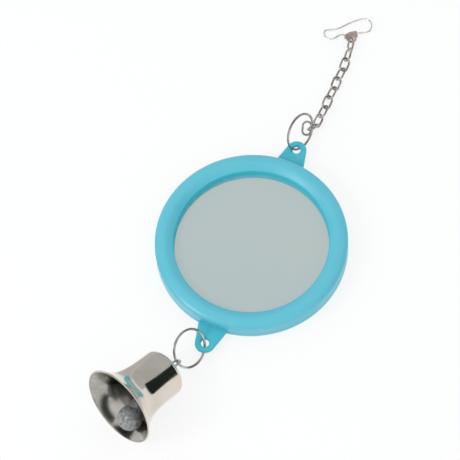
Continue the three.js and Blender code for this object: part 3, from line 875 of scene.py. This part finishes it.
def floor_finish(colours):
    """Pale floor that shows nearly white with soft shadows.

    The camera sees a swung piece through it, because the white is the room's own.
    """
    finish, tree, shader = new_finish("pale floor")
    set_inputs(tree, shader, Base_Color=rgba(colours.floor), Roughness=0.9, Specular_IOR_Level=0.1)
    white = add_node(tree, "ShaderNodeEmission", {"Color": WHITE, "Strength": 1.0}).outputs[0]
    clear = add_node(tree, "ShaderNodeBsdfTransparent").outputs[0]
    straight = add_node(tree, "ShaderNodeLightPath").outputs["Is Camera Ray"]
    bright = mix_shaders(tree, straight, white, clear)
    share = maths(tree, "MULTIPLY", shows_background(tree), FLOOR_WHITE)
    mixed = mix_shaders(tree, share, shader.outputs["BSDF"], bright)
    tree.links.new(mixed, tree.nodes["Material Output"].inputs["Surface"])
    return finish


# Operators, one for each piece or group of like pieces


def bezel_profile(s):
    """The frame's section, anticlockwise from its rear bore, as (radius, height) pairs."""
    crest_radius = s.frame_radius - s.crest_inset
    wall_top = s.frame_height - s.crest_round
    half_line = 4 * s.parting_depth
    profile = [(s.bore_radius, 0.0)]
    profile += arc((s.frame_radius - s.foot_round, s.foot_round), s.foot_round, -90, 0, FOOT_STEPS)
    profile += [
        (s.frame_radius, s.parting_height - half_line),
        (s.frame_radius - s.parting_depth, s.parting_height),
        (s.frame_radius, s.parting_height + half_line),
        (s.frame_radius, wall_top),
    ]
    shares = [i / BEZEL_STEPS for i in range(1, BEZEL_STEPS + 1)]
    for share in shares:
        a = math.pi / 2 * share
        profile.append((crest_radius + s.crest_inset * math.cos(a), wall_top + s.crest_round * math.sin(a)))
    for share in shares:
        r = crest_radius - (crest_radius - s.opening_radius) * share
        profile.append((r, s.frame_height - (s.frame_height - s.lip_height) * share**s.inner_bow))
    glass_play = 0.1 * MM
    glass_gap = 0.02 * MM
    seat_radius = s.glass_radius + glass_play
    seat_top = glass_high.z + glass_gap
    profile += [(s.opening_radius, seat_top), (seat_radius, seat_top)]
    profile += [(seat_radius, glass_low.z), (s.bore_radius, glass_low.z)]
    return profile


def lug_outline(s):
    """A lug's outline towards +Y: a tapered tongue with a round tip."""
    tip_y = moulding_high.y - s.lug_tip
    root_y = s.frame_radius - s.lug_sink
    slope = math.degrees(math.atan2(s.lug_root - s.lug_tip, tip_y - root_y))
    tip = arc((0, tip_y), s.lug_tip, slope, 180 - slope, LUG_STEPS)
    return [(-s.lug_root, root_y), (s.lug_root, root_y), *tip]


class BIRDMIRROR_OT_frame(bpy.types.Operator):
    """Mould the turquoise frame with a lug at each end"""

    bl_idname = "bird_mirror.frame"
    bl_label = "Frame"

    def execute(self, context):
        s = context.scene.bird_mirror_sizes
        bm = bmesh.new()
        turned(bm, bezel_profile(s), FRAME_SEGMENTS)
        outline = lug_outline(s)
        hole = arc((0, moulding_high.y - s.lug_tip), s.lug_hole, 360, 0, LUG_STEPS)[:-1]
        for side in (1, -1):
            flip = [[(side * x, side * y) for x, y in points] for points in (outline, hole)]
            plate(bm, flip[0], flip[1:], s.lug_thick / 2, s.lug_edge, s.lug_mid, LUG_EDGE_STEPS)
        finish = plastic_finish(context.scene.bird_mirror_colours, s)
        piece = new_piece("frame_moulding", bm, finish, sharp=35)
        seat(piece, "mirror_body", "turquoise_plastic", "mirror_frame")
        return {"FINISHED"}


class BIRDMIRROR_OT_glass_and_back(bpy.types.Operator):
    """Set the mirror in its frame and close the back"""

    bl_idname = "bird_mirror.glass_and_back"
    bl_label = "Glass and Back"

    def execute(self, context):
        s = context.scene.bird_mirror_sizes
        colours = context.scene.bird_mirror_colours
        bm = bmesh.new()
        edge = s.glass_bevel
        profile = [
            (0, glass_low.z),
            (s.glass_radius - edge, glass_low.z),
            (s.glass_radius, glass_low.z + edge),
            (s.glass_radius, glass_high.z - edge),
            (s.glass_radius - edge, glass_high.z),
            (0, glass_high.z),
        ]
        turned(bm, profile, GLASS_SEGMENTS, closed=False)
        glass = new_piece("silvered_glass", bm, mirror_finish(colours), sharp=20)
        seat(glass, "mirror_body", "mirror_glass", "mirror_glass")
        seat(self.back(s, colours), "mirror_body", "turquoise_plastic", "rear_cover")
        frame["nodes"]["backing_pad"].data.materials.clear()
        frame["nodes"]["backing_pad"].data.materials.append(card_finish(colours))
        return {"FINISHED"}

    def back(self, s, colours):
        """The snap-in cover, with its groove, its gate mark and the mould's pin marks."""
        bm = bmesh.new()
        soft = 0.12 * MM
        gate = 1.2 * MM
        gate_depth = 0.15 * MM
        snap = cover_high.x - s.cover_radius
        mid = s.cover_thick / 2
        profile = [
            (0, gate_depth),
            (gate, gate_depth),
            (gate + soft, 0),
            (s.groove_inner - soft, 0),
            (s.groove_inner, soft),
            (s.groove_inner, s.groove_depth - soft),
            (s.groove_inner + soft, s.groove_depth),
            (s.groove_outer - soft, s.groove_depth),
            (s.groove_outer, s.groove_depth - soft),
            (s.groove_outer, soft),
            (s.groove_outer + soft, 0),
            (s.cover_radius - soft, 0),
            (s.cover_radius, soft),
            (s.cover_radius, mid - snap),
            (s.cover_radius + snap, mid),
            (s.cover_radius, mid + snap),
            (s.cover_radius, s.cover_thick),
            (0, s.cover_thick),
        ]
        turned(bm, profile, COVER_SEGMENTS, closed=False)
        for k in range(PIN_COUNT):
            angle = (2 * k + 1) * math.pi / PIN_COUNT
            centre = Vector((s.pin_circle * math.cos(angle), s.pin_circle * math.sin(angle), soft / 2))
            circle = arc((0, 0), s.pin_mark, 0, 360, PIN_STEPS)[:-1]
            swept(bm, [centre + Vector(p).to_3d() for p in circle], soft / 2, PIN_SIDES, closed=True)
        return new_piece("back_cover", bm, plastic_finish(colours, s), sharp=40)


class BIRDMIRROR_OT_jump_rings(bpy.types.Operator):
    """Bend the two jump rings, each open by a butt joint"""

    bl_idname = "bird_mirror.jump_rings"
    bl_label = "Jump Rings"

    def execute(self, context):
        w = context.scene.bird_mirror_wires
        colours = context.scene.bird_mirror_colours
        finish = plated_finish("ring plating", colours.nickel, colours.nickel_worn, cloud=210.0, shine=0.14)
        half_gap = math.degrees(w.seam_gap / w.ring_radius / 2)
        seam = math.degrees(w.ring_seam)
        circle = arc((0, 0), w.ring_radius, seam + half_gap, seam + 360 - half_gap, RING_STEPS)
        line = [(x, y, 0) for x, y in circle]
        for node in ("upper_ring", "lower_ring"):
            place = ring_place(node, node + "_swing")
            piece = wire_piece(node + "_wire", line, w.ring_wire, finish, place, RING_SIDES)
            seat(piece, node, "nickel_wire", node)
        return {"FINISHED"}


class BIRDMIRROR_OT_chain(bpy.types.Operator):
    """Bend the oval links of the chain"""

    bl_idname = "bird_mirror.chain"
    bl_label = "Chain"

    def execute(self, context):
        w = context.scene.bird_mirror_wires
        colours = context.scene.bird_mirror_colours
        finish = plated_finish("link plating", colours.nickel, colours.nickel_worn, cloud=330.0, shine=0.16)
        line = self.oval(w)
        for n in range(1, LINK_COUNT + 1):
            node = f"chain_link_{n:02d}"
            piece = wire_piece(f"oval_link_{n:02d}", line, w.link_wire, finish, oval_place(node))
            seat(piece, node, "nickel_wire", node)
        return {"FINISHED"}

    def oval(self, w):
        """A link's wire from one side of its butt joint to the other."""
        r = w.link_width / 2
        half = w.link_length / 2 - r
        line = [(r, w.seam_gap / 2), (r, half / 2)]
        line += arc((0, half), r, 0, 180, LINK_STEPS)
        line += [(-r, half / 3), (-r, -half / 3)]
        line += arc((0, -half), r, 180, 360, LINK_STEPS)
        line += [(r, -half / 2), (r, -w.seam_gap / 2)]
        return [(x, y, 0) for x, y in line]


# Points of the clip's bent wire, in shares of its length and of its half width
LOOP_SHARES = (
    (0.6, -0.667), (0.705, -0.681), (0.832, -0.768), (0.932, -0.551), (0.984, 0.116), (0.953, 0.754),
    (0.874, 1.0), (0.747, 1.0), (0.589, 0.855), (0.411, 0.565), (0.242, 0.348),
)

# The wire's points past the end of the loop, round the heel to the tip of the gate
GATE_SHARES = (
    (0.105, 0.406), (0.032, 0.435), (-0.005, 0.246), (-0.013, 0.0), (0.003, -0.406), (0.053, -0.696),
    (0.121, -0.812), (0.2, -0.696), (0.274, -0.507), (0.358, -0.507), (0.432, -0.609), (0.505, -0.71),
)


class BIRDMIRROR_OT_clip(bpy.types.Operator):
    """Bend the clip's spring wire and fold its clasp"""

    bl_idname = "bird_mirror.clip"
    bl_label = "Clip"

    def execute(self, context):
        w = context.scene.bird_mirror_wires
        colours = context.scene.bird_mirror_colours
        looks = {"cloud": 260.0, "shine": 0.28, "spread": 0.1, "dents": 0.008 * MM}
        finish = plated_finish("spring wire", colours.spring, colours.spring_worn, **looks)
        place = clip_place(w)
        points = [(u * w.clip_length, v * w.clip_half, 0) for u, v in LOOP_SHARES + GATE_SHARES]
        line = smooth_line(points, CLIP_STEPS)
        split = (len(LOOP_SHARES) - 1) * CLIP_STEPS
        piece = wire_piece("clip_loop_wire", line[: split + 1], w.clip_wire, finish, place)
        seat(piece, "clip", "spring_wire", "clip_loop")
        piece = wire_piece("clip_gate_wire", line[split:], w.clip_wire, finish, place)
        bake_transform(piece)
        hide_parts("clip_gate")
        seat(self.clasp(w, colours, place), "clip", "folded_clasp", "clip_clasp")
        return {"FINISHED"}

    def clasp(self, w, colours, place):
        """A sheet folded round the wire, with a tab for the last link on its upper leaf."""
        looks = {"cloud": 380.0, "shine": 0.22, "spread": 0.14, "dents": 0.03 * MM}
        finish = plated_finish("clasp plating", colours.clasp, colours.clasp_worn, **looks)
        bm = bmesh.new()
        edge = 0.08 * MM
        wire_play = 0.05 * MM
        half_sheet = w.clasp_sheet / 2
        left = w.clasp_mid - w.clasp_length / 2
        right = w.clasp_mid + w.clasp_length / 2
        fold = w.clasp_wall - w.clasp_sheet
        hole_v = w.clasp_wall - w.tab_set
        leaf_mid = w.clip_wire / 2 + wire_play + half_sheet
        # The cut corner is twice as long as it is deep
        open_edge = [(right, w.clasp_open), (left + 2 * w.clasp_cut, w.clasp_open)]
        open_edge.append((left, w.clasp_open - w.clasp_cut))
        tab = [*open_edge, (left, fold)]
        tab += arc((w.clasp_mid, hole_v), w.tab_hole + w.tab_rim, 180, 360, TAB_STEPS)
        tab.append((right, fold))
        hole = arc((w.clasp_mid, hole_v), w.tab_hole, 360, 0, TAB_STEPS)[:-1]
        plate(bm, tab, [hole], half_sheet, edge, leaf_mid)
        lower = [*open_edge, (left, fold + edge), (right, fold + edge)]
        plate(bm, lower, [], half_sheet, edge, -leaf_mid)
        self.folded_wall(bm, w, left, right, leaf_mid)
        return new_piece("folded_clasp", bm, finish, place)

    def folded_wall(self, bm, w, left, right, leaf_mid):
        """The round back of the fold, from the lower leaf to the upper one."""
        inner = leaf_mid - w.clasp_sheet / 2
        outer = leaf_mid + w.clasp_sheet / 2
        squash = w.clasp_sheet / inner
        inner_bulge = 0.2
        section = []
        for v, h in arc((0, 0), 1.0, 90, 270, FOLD_STEPS):
            section.append((w.clasp_wall + v * outer * squash, h * outer))
        for v, h in arc((0, 0), 1.0, 270, 90, FOLD_STEPS):
            section.append((w.clasp_wall + v * inner * squash * inner_bulge, h * inner))
        rings = [[bm.verts.new((u, v, h)) for v, h in section] for u in (left, right)]
        count = len(section)
        for k in range(count):
            n = (k + 1) % count
            bm.faces.new((rings[0][k], rings[0][n], rings[1][n], rings[1][k]))
        half = count // 2
        for ring in rings:
            for k in range(half - 1):
                bm.faces.new((ring[k], ring[k + 1], ring[count - 2 - k], ring[count - 1 - k]))


# Half of an eye's loop, in shares of the loop's half width and of its height
TEARDROP = ((0.6, 0.16), (0.9, 0.39), (1.0, 0.68), (0.69, 0.92))


class BIRDMIRROR_OT_bell(bpy.types.Operator):
    """Spin the bell and bend the wire eye through its crown"""

    bl_idname = "bird_mirror.bell"
    bl_label = "Bell"

    def execute(self, context):
        b = context.scene.bird_mirror_bell
        colours = context.scene.bird_mirror_colours
        place = bell_place()
        bm = bmesh.new()
        turned(bm, self.section(b), BELL_SEGMENTS)
        shell = new_piece("bell_spinning", bm, bell_finish(colours, place, b), place, sharp=60)
        seat(shell, "bell", "bell_metal", "bell_shell")
        finish = plated_finish("eye plating", colours.eye, colours.nickel, cloud=300.0, shine=0.16)
        eye = wire_piece("bell_eye_wire", self.eye_line(b), b.eye_wire, finish, place)
        seat(eye, "bell", "nickel_wire", "bell_eye")
        return {"FINISHED"}

    def wall_line(self, b, inset):
        """The bell's wall from crown to mouth, set in from the outside. Its points crowd at the mouth."""
        crowding = 1.5
        shoulder_z = -b.dome - b.shoulder
        line = arc((b.crown_radius - b.shoulder, shoulder_z), b.shoulder - inset, 90, 0, SHOULDER_STEPS)
        end = b.lip - b.height
        for i in range(1, WALL_STEPS + 1):
            t = 1 - (1 - i / WALL_STEPS) ** crowding
            r = b.crown_radius + (b.mouth_radius - b.crown_radius) * t**b.flare
            line.append((r - inset, shoulder_z + (end - shoulder_z) * t))
        return line

    def section(self, b):
        """The bell's whole section, with a round edge at its mouth."""
        outer = self.wall_line(b, 0)
        inner = self.wall_line(b, b.wall)
        half = b.wall / 2
        edge_r = b.mouth_radius - half
        edge_z = b.lip - b.height
        round_edge = arc((0, 0), 1.0, -160, -20, LIP_STEPS)
        edge = [(edge_r + half * across, edge_z + b.lip * up) for across, up in round_edge]
        hole = [(b.crown_hole, 0), (b.crown_hole, -b.wall)]
        return hole + inner + edge + outer[::-1]

    def eye_line(self, b):
        """One wire with a loop above the crown and a loop below it, closed by a seam in the lower loop."""
        foot_top = -b.wall - b.neck_gap
        half_seam = 0.06 * MM

        def side(sign, half, start, end):
            return [(sign * half * x, 0, start + (end - start) * y) for x, y in TEARDROP]

        upper_left = side(-1, b.eye_half, b.neck_gap, b.eye_top)
        upper_right = side(1, b.eye_half, b.neck_gap, b.eye_top)
        lower_left = side(-1, b.foot_half, foot_top, -b.foot_drop)
        lower_right = side(1, b.foot_half, foot_top, -b.foot_drop)
        seam = (foot_top - b.foot_drop) / 2
        points = [(-b.foot_half, 0, seam + half_seam)]
        points += lower_left[1::-1]
        points += [(-b.neck_half, 0, foot_top), (-b.neck_half, 0, b.neck_gap)]
        points += upper_left + [(0, 0, b.eye_top)] + upper_right[::-1]
        points += [(b.neck_half, 0, b.neck_gap), (b.neck_half, 0, foot_top)]
        points += lower_right + [(0, 0, -b.foot_drop)] + lower_left[:1:-1]
        points.append((-b.foot_half, 0, seam - half_seam))
        return smooth_line(points, EYE_STEPS)


class BIRDMIRROR_OT_clapper(bpy.types.Operator):
    """Cast the pear-shaped clapper with its flat eye"""

    bl_idname = "bird_mirror.clapper"
    bl_label = "Clapper"

    def execute(self, context):
        b = context.scene.bird_mirror_bell
        bm = bmesh.new()
        turned(bm, self.pear(b), CLAPPER_SEGMENTS, closed=False)
        self.flat_eye(bm, b)
        finish = casting_finish(context.scene.bird_mirror_colours)
        piece = new_piece("cast_clapper", bm, finish, placement(*hung_axes("clapper")), sharp=50)
        seat(piece, "clapper", "zinc_casting", "clapper")
        return {"FINISHED"}

    def pear(self, b):
        """The clapper's outline from the ball's foot to the top of its stem."""
        drop, ball, stem = b.clapper_length, b.clapper_radius, b.clapper_stem
        neck_start = 38
        foot = arc((0, -drop), ball, -90, neck_start, BALL_STEPS)
        shoulder = (ball * 0.66, -0.68 * drop)
        middle = (stem * 2, -0.46 * drop)
        upper = (stem * 1.2, -0.26 * drop)
        top = (stem, -b.clapper_eye - b.clapper_rim / 2)
        neck = smooth_line([(r, z, 0) for r, z in (foot[-1], shoulder, middle, upper, top)], NECK_STEPS)
        return [(0.0, foot[0][1]), *foot[1:-1], *((p.x, p.y) for p in neck), (0.0, top[1])]

    def flat_eye(self, bm, b):
        """A flat round eye whose hole runs along the hinge."""
        outer = b.clapper_eye + b.clapper_rim
        half = b.clapper_thick / 2
        soft = 0.2 * MM
        section = [
            (b.clapper_eye, -half + soft),
            (b.clapper_eye + soft, -half),
            (outer - soft, -half),
            (outer, -half + soft),
            (outer, half - soft),
            (outer - soft, half),
            (b.clapper_eye + soft, half),
            (b.clapper_eye, half - soft),
        ]
        ring = bmesh.new()
        turned(ring, section, EYE_SEGMENTS)
        mesh = bpy.data.meshes.new("flat eye")
        ring.to_mesh(mesh)
        ring.free()
        mesh.transform(Matrix.Rotation(math.pi / 2, 4, "Y"))
        bm.from_mesh(mesh)
        bpy.data.meshes.remove(mesh)


# The floor's width, and how far the floor and its card lie under the object
FLOOR_WIDTH = 6.0
FLOOR_DROP = 0.02 * MM
CARD_DROP = 0.01 * MM

# Dark cards round the bell: name, azimuth, elevation and roll in degrees, width and height in metres
DARK_CARDS = (
    ("right card", 120.9, 24.9, 40.7, 0.246, 0.246),
    ("left card", -74, 24, 0, 0.36, 0.2),
    ("front card", 10, 30, -35, 0.42, 0.105),
)


def light_some(lamp, piece, state):
    """Lets a lamp or a shining card light one piece alone, or all but that one."""
    group = bpy.data.collections.new(f"{lamp.name} {state.lower()}")
    group.objects.link(bpy.data.objects[piece])
    group.collection_objects[0].light_linking.link_state = state
    lamp.light_linking.receiver_collection = group


def sheet(name, finish, place, width, height):
    """A flat rectangle of the stage."""
    bm = bmesh.new()
    bmesh.ops.create_grid(bm, x_segments=1, y_segments=1, size=0.5)
    bmesh.ops.scale(bm, verts=bm.verts, vec=(width, height, 1.0))
    piece = new_piece(name, bm, finish, place)
    return piece


def looking_back(data, target, towards, distance, roll=0.0):
    """An object for a light or a camera that stands off a target and looks back at it."""
    holder = bpy.data.objects.new(data.name, data)
    facing = (-towards).to_track_quat("-Z", "Y").to_matrix() @ Matrix.Rotation(roll, 3, "Z")
    holder.location = Vector(target) + towards * distance
    holder.rotation_euler = facing.to_euler()
    bpy.context.scene.collection.objects.link(holder)
    return holder


class BIRDMIRROR_OT_stage(bpy.types.Operator):
    """Set out the pale floor, the soft lights, the cards and the camera"""

    bl_idname = "bird_mirror.stage"
    bl_label = "Stage"

    def execute(self, context):
        stage = context.scene.bird_mirror_stage
        colours = context.scene.bird_mirror_colours
        self.floor(colours)
        self.room(context.scene, stage, colours)
        self.key(stage)
        self.cards(stage, colours)
        self.camera(context.scene, stage)
        context.scene.view_settings.view_transform = "Standard"
        return {"FINISHED"}

    def floor(self, colours):
        """A plain square floor just under the object."""
        place = Matrix.Translation((0, 0, -FLOOR_DROP))
        sheet("floor", floor_finish(colours), place, FLOOR_WIDTH, FLOOR_WIDTH)

    def room(self, scene, stage, colours):
        """An even grey room that is seen as white."""
        world = bpy.data.worlds.new("soft room")
        world.use_nodes = True
        tree = world.node_tree
        grey = tree.nodes["Background"]
        set_inputs(tree, grey, Color=rgba(colours.room), Strength=stage.room)
        white = add_node(tree, "ShaderNodeBackground", {"Color": WHITE, "Strength": 1.0}).outputs[0]
        mixed = mix_shaders(tree, shows_background(tree), grey.outputs[0], white)
        tree.links.new(mixed, tree.nodes["World Output"].inputs["Surface"])
        scene.world = world

    def key(self, stage):
        """A large soft light in front of the mirror, on the bell's side, which the bell doesn't show."""
        light = bpy.data.lights.new("key light", "AREA")
        light.energy = stage.key
        light.size = stage.key_size
        towards = heading(stage.key_azimuth, stage.key_elevation)
        holder = looking_back(light, (0, 0, 0), towards, stage.key_distance)
        light_some(holder, "bell_spinning", "EXCLUDE")

    def cards(self, stage, colours):
        """Grey cards behind the object and beside the bell, and dark ones round the bell.

        They are seen only in reflections. The dark cards shine white for the mirror alone, so that it
        shows the plain background.
        """
        low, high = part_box("bell_shell")
        bell = (low + high) / 2
        grey, tree, shader = new_finish("grey card")
        tint = shaded(colours.room, stage.back_grey)
        set_inputs(tree, shader, Base_Color=BLACK, Emission_Color=rgba(tint), Emission_Strength=1.0)
        dark, tree, shader = new_finish("dark card")
        set_inputs(tree, shader, Base_Color=rgba(colours.dark), Roughness=1.0, Specular_IOR_Level=0.0)
        set_inputs(tree, shader, Emission_Color=WHITE, Emission_Strength=1.0)
        back = heading(stage.back_azimuth, stage.back_elevation)
        square = (stage.back_size, stage.back_size)
        self.card("grey card", grey, back * stage.back_distance, back, square)
        reach = stage.floor_card
        beside = Vector((low.x - reach / 2, bell.y + reach / 2, -CARD_DROP))
        self.card("grey floor card", grey, beside, Vector((0, 0, 1)), (reach, reach))
        for name, azimuth, elevation, roll, width, height in DARK_CARDS:
            towards = heading(math.radians(azimuth), math.radians(elevation))
            centre = bell + towards * stage.card_distance
            card = self.card(name, dark, centre, towards, (width, height), math.radians(roll))
            light_some(card, "silvered_glass", "INCLUDE")

    def card(self, name, finish, centre, towards, size, roll=0.0):
        """A card that faces the object, with its width and height."""
        facing = towards.to_track_quat("Z", "Y").to_matrix() @ Matrix.Rotation(roll, 3, "Z")
        card = sheet(name, finish, Matrix.Translation(centre) @ facing.to_4x4(), *size)
        card.visible_camera = False
        card.visible_diffuse = False
        card.visible_shadow = False
        return card

    def camera(self, scene, stage):
        """The photograph's view."""
        lens = bpy.data.cameras.new("camera")
        lens.lens = stage.lens
        lens.sensor_width = 36.0
        lens.shift_x = stage.shift_x
        lens.shift_y = stage.shift_y
        lens.clip_start = 0.01
        back = heading(stage.azimuth, stage.elevation)
        scene.camera = looking_back(lens, (0, 0, stage.target_height), back, stage.distance, stage.roll)


class BIRDMIRROR_PT_panel(bpy.types.Panel):
    """Lists the pieces of the bird mirror and their sizes"""

    bl_idname = "BIRDMIRROR_PT_panel"
    bl_label = "Bird Mirror"
    bl_space_type = "VIEW_3D"
    bl_region_type = "UI"
    bl_category = "Bird Mirror"

    def draw(self, context):
        for operator in OPERATORS:
            self.layout.operator(operator.bl_idname)
        for name in PROPERTY_GROUPS:
            holder = getattr(context.scene, name)
            box = self.layout.box()
            for key in holder.__annotations__:
                box.prop(holder, key)


PROPERTY_GROUPS = {
    "bird_mirror_sizes": MirrorSizes,
    "bird_mirror_wires": WireSizes,
    "bird_mirror_bell": BellSizes,
    "bird_mirror_colours": FinishColours,
    "bird_mirror_stage": StageSizes,
}
OPERATORS = (
    BIRDMIRROR_OT_frame,
    BIRDMIRROR_OT_glass_and_back,
    BIRDMIRROR_OT_jump_rings,
    BIRDMIRROR_OT_chain,
    BIRDMIRROR_OT_clip,
    BIRDMIRROR_OT_bell,
    BIRDMIRROR_OT_clapper,
    BIRDMIRROR_OT_stage,
)


def register():
    """Adds the property groups, the operators and the panel."""
    for name, group in PROPERTY_GROUPS.items():
        bpy.utils.register_class(group)
        setattr(bpy.types.Scene, name, PointerProperty(type=group))
    for operator in OPERATORS:
        bpy.utils.register_class(operator)
    bpy.utils.register_class(BIRDMIRROR_PT_panel)


def unregister():
    """Takes them away again, in the reverse order."""
    bpy.utils.unregister_class(BIRDMIRROR_PT_panel)
    for operator in reversed(OPERATORS):
        bpy.utils.unregister_class(operator)
    for name, group in reversed(PROPERTY_GROUPS.items()):
        delattr(bpy.types.Scene, name)
        bpy.utils.unregister_class(group)


def main():
    """Builds every piece in order."""
    register()
    bpy.ops.bird_mirror.frame()
    bpy.ops.bird_mirror.glass_and_back()
    bpy.ops.bird_mirror.jump_rings()
    bpy.ops.bird_mirror.chain()
    bpy.ops.bird_mirror.clip()
    bpy.ops.bird_mirror.bell()
    bpy.ops.bird_mirror.clapper()
    bpy.ops.bird_mirror.stage()


if __name__ == "__main__":
    main()
